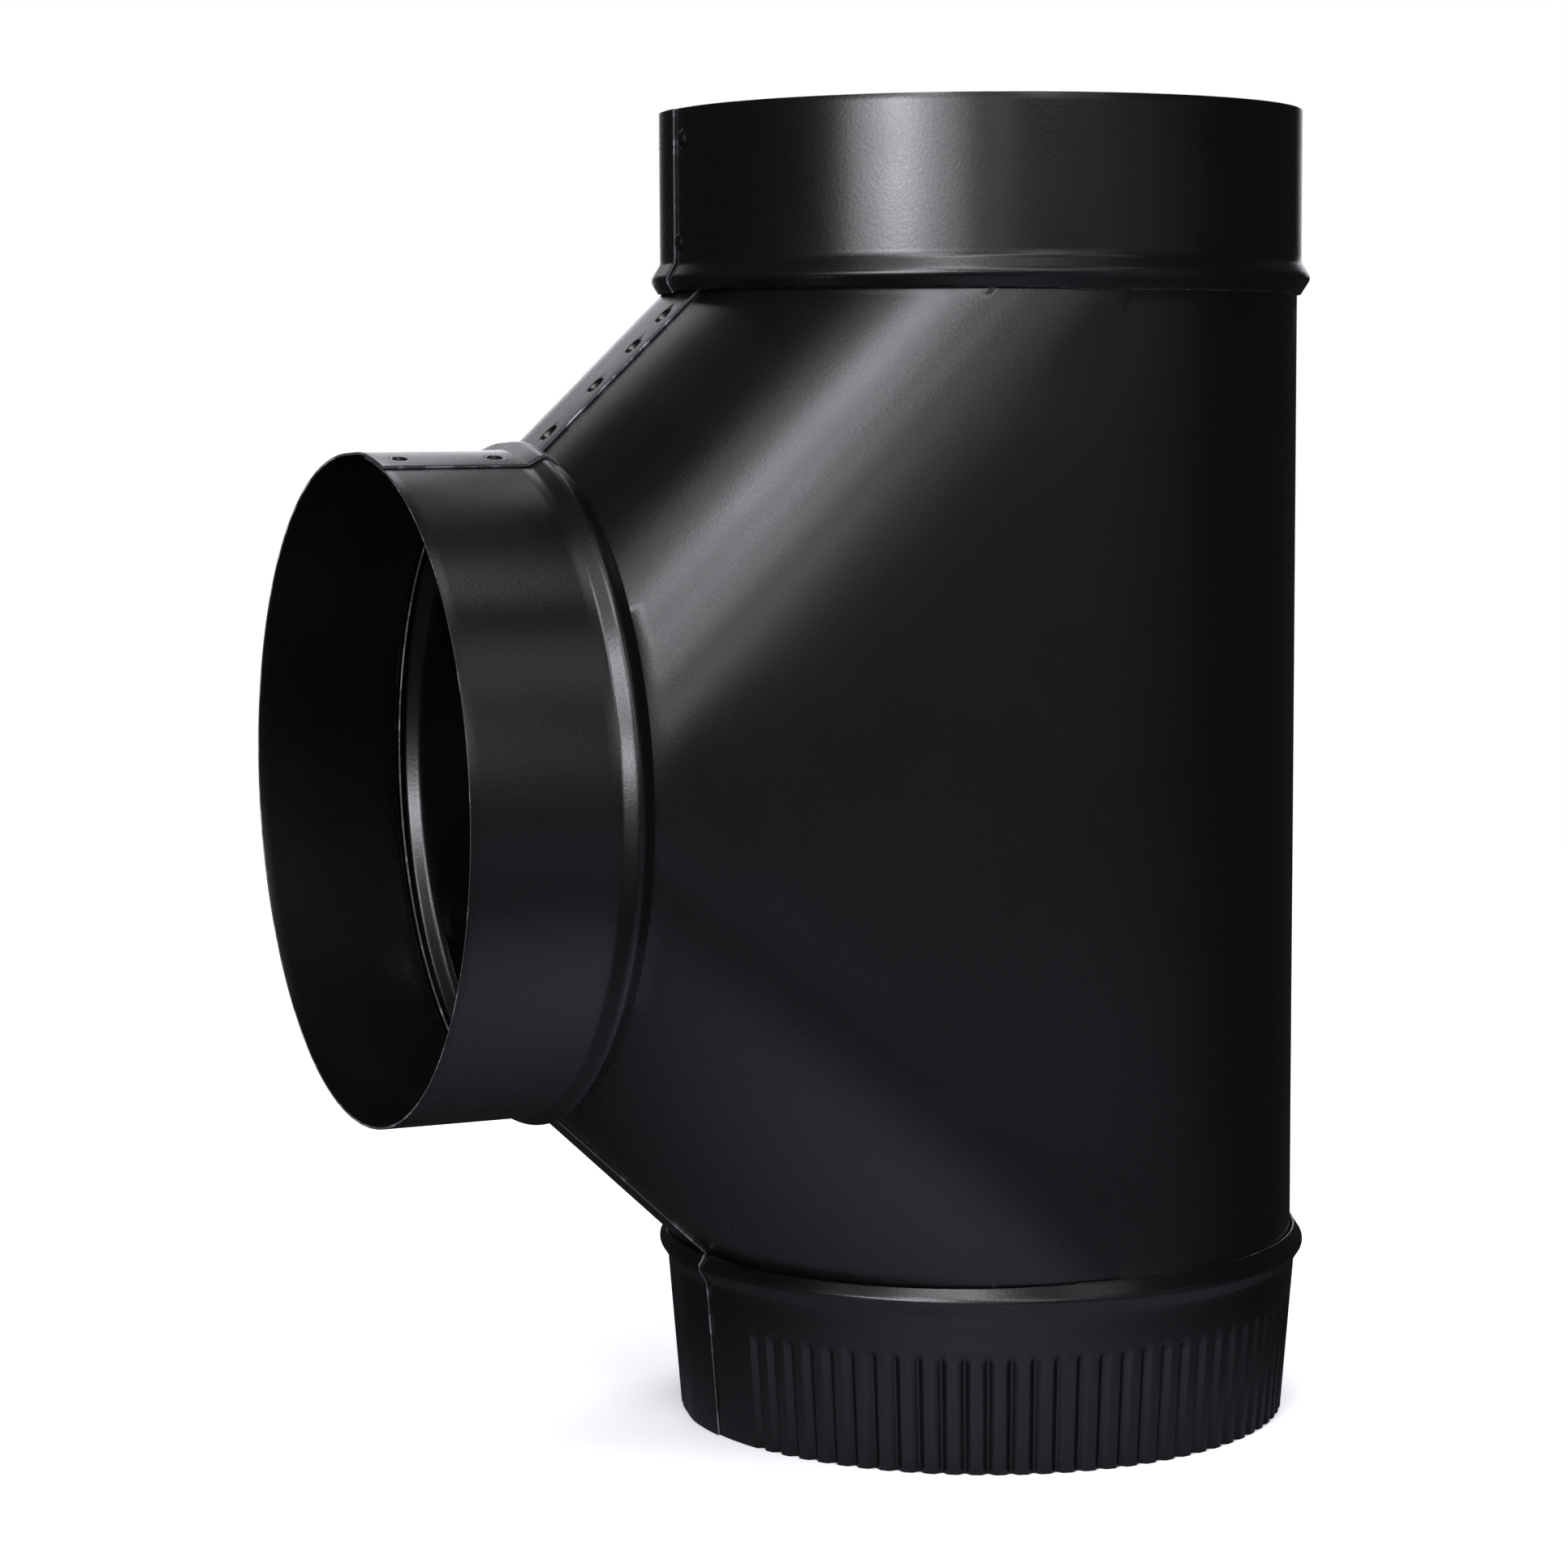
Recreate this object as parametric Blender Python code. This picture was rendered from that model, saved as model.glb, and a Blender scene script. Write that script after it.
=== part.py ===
"""Stove pipe tee for six inch pipe.

One sheet is wrapped into the body: half a cylinder behind, a flat on each side, and an upper and a
lower slant that run in straight lines to the branch. Three separate rings are rolled onto its ends
with a bead through both layers: a plain collar on top, a plain collar on the branch, and a collar
with a crimped end below. Every sheet closes with a lap seam on the branch side.
"""
import math
from collections import namedtuple

import bmesh
import bpy
from mathutils import Vector

# Pipe and sheet, in metres
PIPE_BORE = 0.1524
SHEET = 0.0006
SEAT_GAP = 0.0004
LAP_GAP = 0.00025

# From the crossing of the run's and the branch's axes to each rim
TOP_REACH = 0.1557
BOTTOM_REACH = 0.1573
BRANCH_REACH = 0.1589

# From the crossing to the crest of each bead, and from the crest back to where the slants leave
# each arm
RUN_BEAD = 0.1162
BRANCH_BEAD = 0.1209
RUN_SETBACK = 0.0022
BRANCH_SETBACK = 0.0043

# Bead rolled through collar and body
BEAD_WIDTH = 0.0078
BEAD_RISE = 0.0020
BODY_PAST_CREST = 0.0020

# Lap seams: overlap, length of the ease back to round, and how far each free edge is turned
# from the branch side towards the near side, in degrees
LAP = 0.0130
LAP_EASE = 0.0090
BODY_SEAM = 6.0
TOP_SEAM = -5.5
BRANCH_SEAM = 14.6
BOTTOM_SEAM = 6.2

# Crimped end of the bottom collar
CRIMP_BAND = 0.0080
CRIMP_DRAWN_IN = 0.0030
CRIMP_DEPTH = 0.0012
CRIMP_ENTRY = 0.0020
CRIMPS_ROUND = 90
RIB_SHARE = 0.40
GROOVE_SHARE = 0.40

# Paint
PAINT_COLOUR = (0.012, 0.012, 0.013, 1)
BODY_ROUGHNESS = 0.42
PLAIN_ROUGHNESS = 0.38
CRIMPED_ROUGHNESS = 0.40

# Fineness of the sheets: facets round an arm, rows down each side of a bead, columns in a lap's
# ease, and the share of the ease that stays straight at first
FACETS_ROUND = 64
BEAD_ROWS = 3
EASE_COLUMNS = 3
EASE_DELAY = 0.1

# The distance and the angle within which corners and columns count as one, the least lean of a
# slant, the halvings in a search, and the angle above which an edge is shaded sharp
WELD = 0.00001
SAME_ANGLE = 0.01
LEAST_LEAN = 0.001
HALVINGS = 40
SHARP_ANGLE = 35

# Sizes that follow
COLLAR_RADIUS = PIPE_BORE / 2 + SHEET
BODY_DEPTH = SHEET + SEAT_GAP
BODY_RADIUS = COLLAR_RADIUS - BODY_DEPTH
LAP_STEP = SHEET + LAP_GAP
BEAD_HALF = BEAD_WIDTH / 2
FLANK_SLOPE = math.atan(math.pi * BEAD_RISE / 2 / BEAD_HALF)
RUN_SLANT = RUN_BEAD - RUN_SETBACK
BRANCH_SLANT = BRANCH_BEAD - BRANCH_SETBACK
SLANT_SLOPE = (BRANCH_SLANT - BODY_RADIUS) / (RUN_SLANT - BODY_RADIUS)
FACET = 360 / FACETS_ROUND
LAP_TURN = math.degrees(LAP / COLLAR_RADIUS)
EASE_TURN = math.degrees(LAP_EASE / COLLAR_RADIUS)
EASE_STEP = EASE_TURN / EASE_COLUMNS
EASE_END = EASE_TURN * (1 + EASE_DELAY)
CUT_EDGE_HEIGHT = SEAT_GAP + SHEET / 2

# An arm points out from the crossing. Angle 0 is its front, on the line of the seams, and angles
# grow towards the near side. The slants lean on the front of a run arm, and on both the top and
# the bottom of the branch.
Arm = namedtuple("Arm", "out front bead slant slope leans_both_ways")
NEAR_SIDE = Vector((0, -1, 0))
TOP = Arm(Vector((0, 0, 1)), Vector((-1, 0, 0)), RUN_BEAD, RUN_SLANT, SLANT_SLOPE, False)
BOTTOM = Arm(Vector((0, 0, -1)), Vector((-1, 0, 0)), RUN_BEAD, RUN_SLANT, SLANT_SLOPE, False)
BRANCH = Arm(Vector((-1, 0, 0)), Vector((0, 0, 1)), BRANCH_BEAD, BRANCH_SLANT, 1 / SLANT_SLOPE, True)


def arm_point(arm, along, radius, angle):
    """A point at a distance along an arm, a radius from its axis and an angle in degrees."""
    turn = math.radians(angle)
    return arm.out * along + (arm.front * math.cos(turn) + NEAR_SIDE * math.sin(turn)) * radius


def sweep(start, end, step=FACET):
    """Evenly spaced values from start to end, both included."""
    count = max(1, round(abs(end - start) / step))
    return [start + (end - start) * i / count for i in range(count + 1)]


def eased(value):
    """Goes smoothly from 0 to 1 as the value does."""
    value = min(max(value, 0.0), 1.0)
    return value * value * (3 - 2 * value)


def bead_half(depth):
    """Half the bead's width in a sheet that lies at a depth below the outer skin of a collar."""
    return BEAD_HALF - 2 * depth * math.tan(FLANK_SLOPE / 2)


def bead_skin(depth, offset):
    """Outer radius of a beaded sheet at an offset from the bead's crest."""
    part = min(abs(offset) / bead_half(depth), 1.0)
    return COLLAR_RADIUS - depth + BEAD_RISE * (1 + math.cos(math.pi * part)) / 2


def lean(arm, angle):
    """How squarely an arm's slant faces a given angle: 1 on its ridge, 0 where there is none."""
    facing = math.cos(math.radians(angle))
    return abs(facing) if arm.leans_both_ways else max(facing, 0.0)


def slant_skin(arm, along, angle):
    """Outer radius of the slanted sheet, seen from the axis of an arm."""
    facing = lean(arm, angle)
    shift = arm.slope * (arm.slant - along)
    return shift * facing + math.sqrt(BODY_RADIUS ** 2 - shift ** 2 * (1 - facing ** 2))


def reach_to_slant(arm, depth, above, angle):
    """Distance behind the crest at which a beaded sheet comes to a height above the slant."""
    low, high = 0.0, max(bead_half(depth), arm.bead - arm.slant)
    facing = lean(arm, angle)
    if facing < LEAST_LEAN:
        return high
    spread = math.sqrt(1 + facing ** 2)
    high += LAP_STEP
    for _ in range(HALVINGS):
        middle = (low + high) / 2
        wall = slant_skin(arm, arm.bead - middle, angle) + above * spread
        if bead_skin(depth, middle) > wall:
            low = middle
        else:
            high = middle
    return low


def behind_crest(reach):
    """Offsets of the rows from a bead's crest back to a distance behind it."""
    return [-reach * row / BEAD_ROWS for row in range(1, BEAD_ROWS + 1)]


def beaded_line(arm, depth, offsets, angle):
    """Points down a beaded sheet at one angle, by their offsets from the crest."""
    return [arm_point(arm, arm.bead + offset, bead_skin(depth, offset), angle) for offset in offsets]


def add_grid(bm, rows):
    """Adds the faces between rows of points, each row as long as the next."""
    corners = [[bm.verts.new(point) for point in row] for row in rows]
    for upper, lower in zip(corners, corners[1:]):
        for i in range(len(upper) - 1):
            bm.faces.new((upper[i], upper[i + 1], lower[i + 1], lower[i]))
    return corners


def thicken(bm):
    """Welds the patches of a skin and gives them the sheet's thickness towards the inside."""
    bmesh.ops.remove_doubles(bm, verts=bm.verts, dist=WELD)
    bmesh.ops.recalc_face_normals(bm, faces=bm.faces)
    bmesh.ops.solidify(bm, geom=bm.faces[:], thickness=SHEET)
    bmesh.ops.recalc_face_normals(bm, faces=bm.faces)


def trim_rim(bm, arm, reach):
    """Cuts the rim of an arm square."""
    for vert in bm.verts:
        short = reach - vert.co.dot(arm.out)
        if abs(short) < SHEET / 2:
            vert.co += arm.out * short


def body_sunk(angle):
    """Depth of the body's inner lap below the round, eased out past the free edge above it."""
    past = (angle - BODY_SEAM) / EASE_TURN
    return LAP_STEP * (1 - eased(past - EASE_DELAY))


def body_columns():
    """Columns of the body sheet as angle and depth: far side, back and near side."""
    far = [(angle, 0.0) for angle in sweep(BODY_SEAM, -90)]
    back = [(angle, 0.0) for angle in sweep(-90, -270)]
    eased_out = BODY_SEAM + EASE_END
    angles = sweep(90, eased_out)[:-1] + sweep(eased_out, BODY_SEAM, EASE_STEP)[:-1]
    angles += sweep(BODY_SEAM, BODY_SEAM - LAP_TURN)
    near = [(angle, body_sunk(angle)) for angle in angles]
    return far, back, near


def body_sleeve(arm, columns):
    """Rows of the body sheet on an arm, from its raw edge over the nested bead to the slant."""
    lines = []
    for angle, sunk in columns:
        depth = BODY_DEPTH + sunk
        reach = reach_to_slant(arm, depth, -sunk, angle)
        offsets = sweep(BODY_PAST_CREST, 0.0, BODY_PAST_CREST / 2)
        offsets += behind_crest(min(reach, bead_half(depth))) + [-reach]
        lines.append(beaded_line(arm, depth, offsets, angle))
    return list(zip(*lines))


def body_sheet():
    """The body: one sheet round the back, joined by laps down the upper and the lower slant."""
    far, back, near = body_columns()
    bm = bmesh.new()
    for side in (far, near):
        under = [(180 - angle, sunk) for angle, sunk in side]
        branch_over = body_sleeve(BRANCH, side)
        branch_under = body_sleeve(BRANCH, under)
        run_over = body_sleeve(TOP, side)
        run_under = body_sleeve(BOTTOM, side)
        for rows in (branch_over, branch_under, run_over, run_under):
            add_grid(bm, rows)
        add_grid(bm, [run_over[-1], branch_over[-1]])
        add_grid(bm, [run_under[-1], branch_under[-1]])
        edge = -1 if side is far else 0
        flat = [rows[-1][edge] for rows in (run_over, branch_over, run_under)]
        bm.faces.new([bm.verts.new(corner) for corner in flat])
    back_over = body_sleeve(TOP, back)
    back_under = body_sleeve(BOTTOM, back)
    for rows in (back_over, back_under, [back_over[-1], back_under[-1]]):
        add_grid(bm, rows)
    thicken(bm)
    return bm


def lap_raised(turned):
    """Height of a ring's outer lap above the round, by the angle turned from its free edge."""
    return LAP_STEP * (1 - eased((turned - LAP_TURN) / EASE_TURN - EASE_DELAY))


def ring_columns(seam, outer_end_side, middle):
    """Columns of a ring as angle and height, from its outer free edge round to its inner one."""
    lap_end = LAP_TURN + EASE_END
    turns = sweep(0, LAP_TURN)[:-1] + sweep(LAP_TURN, lap_end, EASE_STEP)[:-1]
    turns += middle(lap_end)
    turns += sweep(360, 360 + LAP_TURN)
    return [(seam + outer_end_side * turned, lap_raised(turned)) for turned in turns]


def plain_middle(start):
    """Turns of a plain ring between its laps, with one on the side away from the seam."""
    return sweep(start, 180)[:-1] + sweep(180, 360)[:-1]


def collar_rows(arm, columns):
    """Rows of a collar's skin over its bead, from the mouth side to the cut edge on the body."""
    lines = []
    for angle, raised in columns:
        reach = min(BEAD_HALF, reach_to_slant(arm, 0.0, CUT_EDGE_HEIGHT, angle))
        offsets = sweep(BEAD_HALF, 0.0, BEAD_HALF / BEAD_ROWS)
        offsets += behind_crest(reach)
        lines.append(beaded_line(arm, -raised, offsets, angle))
    return list(zip(*lines))


def plain_collar(arm, reach, seam, outer_end_side):
    """A plain ring: a straight mouth, a bead, and a cut edge that sits on the body."""
    columns = ring_columns(seam, outer_end_side, plain_middle)
    rim = [arm_point(arm, reach, COLLAR_RADIUS + raised, angle) for angle, raised in columns]
    bm = bmesh.new()
    add_grid(bm, [rim] + collar_rows(arm, columns))
    thicken(bm)
    trim_rim(bm, arm, reach)
    return bm


def crimped_collar(arm, reach, seam, outer_end_side):
    """A ring whose end is drawn in by crimps, each a flat rib and a flat groove."""
    pitch = 360 / CRIMPS_ROUND
    cells = int((360 - pitch - LAP_TURN - EASE_END) / pitch)
    first_rib = 360 - pitch - cells * pitch
    last_rib = 360 - 2 * pitch

    def middle(start):
        return [start] + sweep(first_rib, 360, pitch)[:-1]

    columns = ring_columns(seam, outer_end_side, middle)
    bead_end = arm.bead + BEAD_HALF
    band_end = bead_end + CRIMP_BAND
    taper = CRIMP_DRAWN_IN / (reach - bead_end)
    wall_share = (1 - RIB_SHARE - GROOVE_SHARE) / 2
    groove_from = RIB_SHARE + wall_share
    crimp = ((0.0, 0), (RIB_SHARE, 0), (groove_from, 1), (groove_from + GROOVE_SHARE, 1))
    plain = crimp[:1]

    def crimp_row(along, depth):
        """Corners of one row round the collar, as a list for each column."""
        groups = []
        for angle, raised in columns:
            turned = (angle - seam) * outer_end_side
            crimped = first_rib - SAME_ANGLE < turned < last_rib + SAME_ANGLE
            group = []
            for share, sunk in crimp if crimped else plain:
                radius = COLLAR_RADIUS - taper * (along - bead_end) + raised - depth * sunk
                group.append(arm_point(arm, along, radius, angle + outer_end_side * share * pitch))
            groups.append(group)
        return groups

    bm = bmesh.new()
    bead = add_grid(bm, collar_rows(arm, columns))
    top_row = crimp_row(band_end, 0.0)
    rows = [top_row, crimp_row(band_end + CRIMP_ENTRY, CRIMP_DEPTH), crimp_row(reach, CRIMP_DEPTH)]
    corners = add_grid(bm, [[point for group in row for point in group] for row in rows])
    at = 0
    for i, group in enumerate(top_row[:-1]):
        band_edge = corners[0][at:at + len(group) + 1]
        bm.faces.new([bead[0][i + 1], bead[0][i]] + band_edge)
        at += len(group)
    thicken(bm)
    trim_rim(bm, arm, reach)
    return bm


def painted_black(name, roughness):
    """Black heat-resistant paint on steel."""
    material = bpy.data.materials.new(name)
    material.use_nodes = True
    shader = material.node_tree.nodes["Principled BSDF"]
    shader.inputs["Base Color"].default_value = PAINT_COLOUR
    shader.inputs["Roughness"].default_value = roughness
    shader.inputs["Metallic"].default_value = 0.0
    return material


def place(name, bm, roughness, parent):
    """Turns a finished mesh into a named object that hangs on the crossing of the axes."""
    mesh = bpy.data.meshes.new(name)
    bm.to_mesh(mesh)
    bm.free()
    mesh.shade_smooth()
    mesh.set_sharp_from_angle(angle=math.radians(SHARP_ANGLE))
    mesh.materials.append(painted_black(name + "_paint", roughness))
    item = bpy.data.objects.new(name, mesh)
    item.parent = parent
    bpy.context.scene.collection.objects.link(item)


def build():
    """The tee stands on its crimped rim, with its box centred over the origin."""
    for old in list(bpy.data.objects):
        bpy.data.objects.remove(old, do_unlink=True)
    crossing = bpy.data.objects.new("axes_crossing", None)
    back_reach = COLLAR_RADIUS + BEAD_RISE
    crossing.location = ((BRANCH_REACH - back_reach) / 2, 0, BOTTOM_REACH)
    bpy.context.scene.collection.objects.link(crossing)
    place("body_shell", body_sheet(), BODY_ROUGHNESS, crossing)
    top = plain_collar(TOP, TOP_REACH, TOP_SEAM, 1)
    branch = plain_collar(BRANCH, BRANCH_REACH, BRANCH_SEAM, -1)
    crimped = crimped_collar(BOTTOM, BOTTOM_REACH, BOTTOM_SEAM, -1)
    place("top_collar", top, PLAIN_ROUGHNESS, crossing)
    place("branch_collar", branch, PLAIN_ROUGHNESS, crossing)
    place("crimped_collar", crimped, CRIMPED_ROUGHNESS, crossing)


build()
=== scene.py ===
"""The looks of a black stove pipe tee: satin paint on rolled, beaded and crimped sheet steel."""
import math
from collections import namedtuple

import bmesh
import bpy
import numpy as np
from mathutils import Matrix, Vector


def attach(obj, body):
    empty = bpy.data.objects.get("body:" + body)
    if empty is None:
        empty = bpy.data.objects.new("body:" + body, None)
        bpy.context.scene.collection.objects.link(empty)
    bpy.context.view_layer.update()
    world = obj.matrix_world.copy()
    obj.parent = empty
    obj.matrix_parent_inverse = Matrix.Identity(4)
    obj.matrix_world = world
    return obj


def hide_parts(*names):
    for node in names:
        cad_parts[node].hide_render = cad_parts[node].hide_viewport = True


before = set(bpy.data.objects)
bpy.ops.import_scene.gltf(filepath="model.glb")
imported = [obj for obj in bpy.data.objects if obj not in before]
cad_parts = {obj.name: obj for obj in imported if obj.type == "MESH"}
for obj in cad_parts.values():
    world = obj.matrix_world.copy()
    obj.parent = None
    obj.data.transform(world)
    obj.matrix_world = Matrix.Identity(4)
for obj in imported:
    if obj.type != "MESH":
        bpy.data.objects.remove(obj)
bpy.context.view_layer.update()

# ---------------------------------------------------------------------------------------------
# Body: one sheet of 0.6 mm steel, wrapped half round behind, flat at the sides and slanted to the
# branch, and closed by lap seams down both slants. Spots pressed along the upper seam hold it.

# Lengths are in metres and angles and turns in degrees.
PIPE_BORE = 0.1524
SHEET = 0.0006
SEAT_GAP = 0.0004
LAP_GAP = 0.00002
CROSSING = np.array((0.04005, 0.0, 0.1573))
COLLAR_RADIUS = PIPE_BORE / 2 + SHEET
BODY_DEPTH = SHEET + SEAT_GAP
BODY_RADIUS = COLLAR_RADIUS - BODY_DEPTH
LAP_STEP = SHEET + LAP_GAP
RUN_BEAD, RUN_SLANT = 0.1162, 0.1140
BRANCH_BEAD, BRANCH_SLANT = 0.1209, 0.1166
BEAD_HALF, BEAD_RISE = 0.0039, 0.0020
CREST_SHARE, FOOT_SHARE = 0.30, 0.10
FLANK_SLOPE = math.atan(BEAD_RISE / BEAD_HALF / (1 - CREST_SHARE / 2 - FOOT_SHARE / 2))
SLANT_SLOPE = (BRANCH_SLANT - BODY_RADIUS) / (RUN_SLANT - BODY_RADIUS)
LAP, BODY_EASE = 0.0130, 0.0220
LAP_TURN, BODY_EASE_TURN = (math.degrees(a / COLLAR_RADIUS) for a in (LAP, BODY_EASE))
LEAST_LEAN = 0.001
WELD = 0.000005

# An arm points out from the crossing of the axes. Angle 0 is its front, on the line of the seams,
# and angles grow towards the near side.
Arm = namedtuple("Arm", "out front bead slant slope leans_both_ways")
NEAR_SIDE = np.array((0.0, -1.0, 0.0))
TO_BRANCH = np.array((-1.0, 0.0, 0.0))
UP = np.array((0.0, 0.0, 1.0))
TOP = Arm(UP, TO_BRANCH, RUN_BEAD, RUN_SLANT, SLANT_SLOPE, False)
BOTTOM = Arm(-UP, TO_BRANCH, RUN_BEAD, RUN_SLANT, SLANT_SLOPE, False)
BRANCH = Arm(TO_BRANCH, UP, BRANCH_BEAD, BRANCH_SLANT, 1 / SLANT_SLOPE, True)


def arm_points(arm, along, radius, angle):
    """Points at distances along an arm, radii from its axis and angles in degrees."""
    along, radius, angle = np.broadcast_arrays(along, radius, angle)
    turn = np.radians(angle)[..., None]
    round_the_arm = arm.front * np.cos(turn) + NEAR_SIDE * np.sin(turn)
    return CROSSING + arm.out * along[..., None] + round_the_arm * radius[..., None]


def spaced(*stops):
    """Values given as first, step, next, step, last, evenly spaced between each two."""
    values = [np.array([float(stops[0])])]
    for start, step, end in zip(stops[0::2], stops[1::2], stops[2::2]):
        count = max(1, round(abs(end - start) / step))
        values.append(np.linspace(start, end, count + 1)[1:])
    return np.concatenate(values)


def eased(value):
    """Goes smoothly from 0 to 1 as the value does."""
    value = np.clip(value, 0.0, 1.0)
    return value * value * (3 - 2 * value)


def bead_half(depth):
    """Half the bead's width in a sheet that lies at a depth below the outer skin of a collar."""
    return BEAD_HALF - 2 * depth * math.tan(FLANK_SLOPE / 2)


BEAD_PARTS = np.linspace(0, 1, 401)
BEAD_FEET = eased((BEAD_PARTS - 1 + FOOT_SHARE) / FOOT_SHARE)
BEAD_SLOPES = eased(BEAD_PARTS / CREST_SHARE) * (1 - BEAD_FEET)
BEAD_FALL = np.cumsum(BEAD_SLOPES) / BEAD_SLOPES.sum()


def bead_skin(depth, offset):
    """Outer radius of a sheet at an offset from its bead's crest, with nearly straight flanks."""
    part = np.minimum(np.abs(offset) / bead_half(depth), 1.0)
    return COLLAR_RADIUS - depth + BEAD_RISE * (1 - np.interp(part, BEAD_PARTS, BEAD_FALL))


def reach_to_slant(arm, depth, above, angle):
    """Distances behind the crest at which a beaded sheet comes to a height above the slant."""
    facing = np.cos(np.radians(angle))
    facing = np.abs(facing) if arm.leans_both_ways else np.maximum(facing, 0.0)
    plain = np.maximum(bead_half(depth), arm.bead - arm.slant)
    low, high = np.zeros_like(facing), plain + LAP_STEP
    for _ in range(40):
        middle = (low + high) / 2
        shift = arm.slope * (arm.slant - arm.bead + middle)
        wall = shift * facing + np.sqrt(BODY_RADIUS ** 2 - shift ** 2 * (1 - facing ** 2))
        beyond = bead_skin(depth, middle) > wall + above * np.sqrt(1 + facing ** 2)
        low, high = np.where(beyond, middle, low), np.where(beyond, high, middle)
    return np.where(facing < LEAST_LEAN, plain, low)


def skin_mesh(name, grids):
    """One welded mesh of the outer skin, from grids of points, facing away from the axes."""
    bm = bmesh.new()
    for grid in grids:
        corners = [[bm.verts.new(point) for point in row] for row in grid.tolist()]
        for upper, lower in zip(corners, corners[1:]):
            for i in range(len(upper) - 1):
                bm.faces.new((upper[i], upper[i + 1], lower[i + 1], lower[i]))
    bmesh.ops.remove_doubles(bm, verts=bm.verts, dist=WELD)
    bmesh.ops.recalc_face_normals(bm, faces=bm.faces)
    mesh = bpy.data.meshes.new(name)
    bm.to_mesh(mesh)
    bm.free()
    return mesh


def beaded_rows(arm, offsets_ahead, rows_behind, depth, above, angle, full_reach=True):
    """Rows of a sheet from offsets ahead of a bead's crest back to the slant."""
    reach = reach_to_slant(arm, depth, above, angle)
    on_bead = np.minimum(reach, bead_half(depth) if full_reach else BEAD_HALF)
    offsets = [np.full_like(reach, offset) for offset in offsets_ahead]
    offsets += [-on_bead * row / rows_behind for row in range(1, rows_behind + 1)]
    offsets += [-reach] if full_reach else []
    return [arm_points(arm, arm.bead + o, bead_skin(depth, o), angle) for o in offsets]


BODY_SEAM = 4.2
SIDE = 90.0
BODY_EDGE_PAST_CREST = 0.0020
BODY_AHEAD = spaced(BODY_EDGE_PAST_CREST, 0.0004, 0)
BODY_ROWS_BEHIND = 9
BACK_ROWS = 50
SLANT_ROW, SPOT_ROW, SPOT_ROWS_REACH = 0.035, 0.0096, 0.048
PLAIN_TURN, FAR_TURN, EASE_TURN, LAP_SIDE_TURN, SPOT_TURN = 1.8, 2.2, 0.8, 0.7, 0.25
SPOTS_DOWN_SLANT = (0.164, 0.350, 0.584, 0.870)
SPOT_FROM_SEAM = 4.3
SPOT_MARGIN = 2.4
BULGE, BULGE_FADE = 0.0017, 0.035
BACK_BEND = math.sqrt(6 * BULGE * BODY_RADIUS)
SLANT_BEND = BACK_BEND / math.sqrt(2)

# A pressed spot has a length along the seam, a flat radius, a wall round it and a depth, which is
# negative where the spot is pressed outwards.
Spot = namedtuple("Spot", "run radius wall depth")
BODY_SPOT = Spot(0.0004, 0.0013, 0.0011, 0.0011)


def bulged(points):
    """Body points with both flats bulged outwards, so that the sheet bends into them gradually."""
    across, aside, above = np.moveaxis(points - CROSSING, -1, 0)
    slant_length = math.hypot(RUN_SLANT, BRANCH_SLANT)
    beyond = [across / BACK_BEND]
    for side in (1, -1):
        past = above * side * BRANCH_SLANT - (across + BRANCH_SLANT) * RUN_SLANT
        beyond.append(past / slant_length / SLANT_BEND)
    out = BULGE * np.sign(aside)
    for share in beyond:
        left = (1 - np.clip(np.abs(share), 0, 1)) ** 3 / 2
        out = out * np.where(share > 0, left, 1 - left)
    for distance in (RUN_SLANT - np.abs(above), BRANCH_SLANT + across):
        out = out * eased(distance / BULGE_FADE)
    return points + out[..., None] * np.array((0.0, 1.0, 0.0))


def body_rows(arm, depth, sunk, angle):
    """Rows of the body from its edge inside a ring's bead back to the slant."""
    return np.array(beaded_rows(arm, BODY_AHEAD, BODY_ROWS_BEHIND, depth, -sunk, angle))


def slant_shares():
    """Shares of the way down a slant, closer together at its spots."""
    stops = [0.0]
    for down in SPOTS_DOWN_SLANT:
        stops += [SLANT_ROW, down - SPOT_ROWS_REACH, SPOT_ROW, down + SPOT_ROWS_REACH]
    return spaced(*stops, SLANT_ROW, 1.0)[:, None, None]


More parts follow.
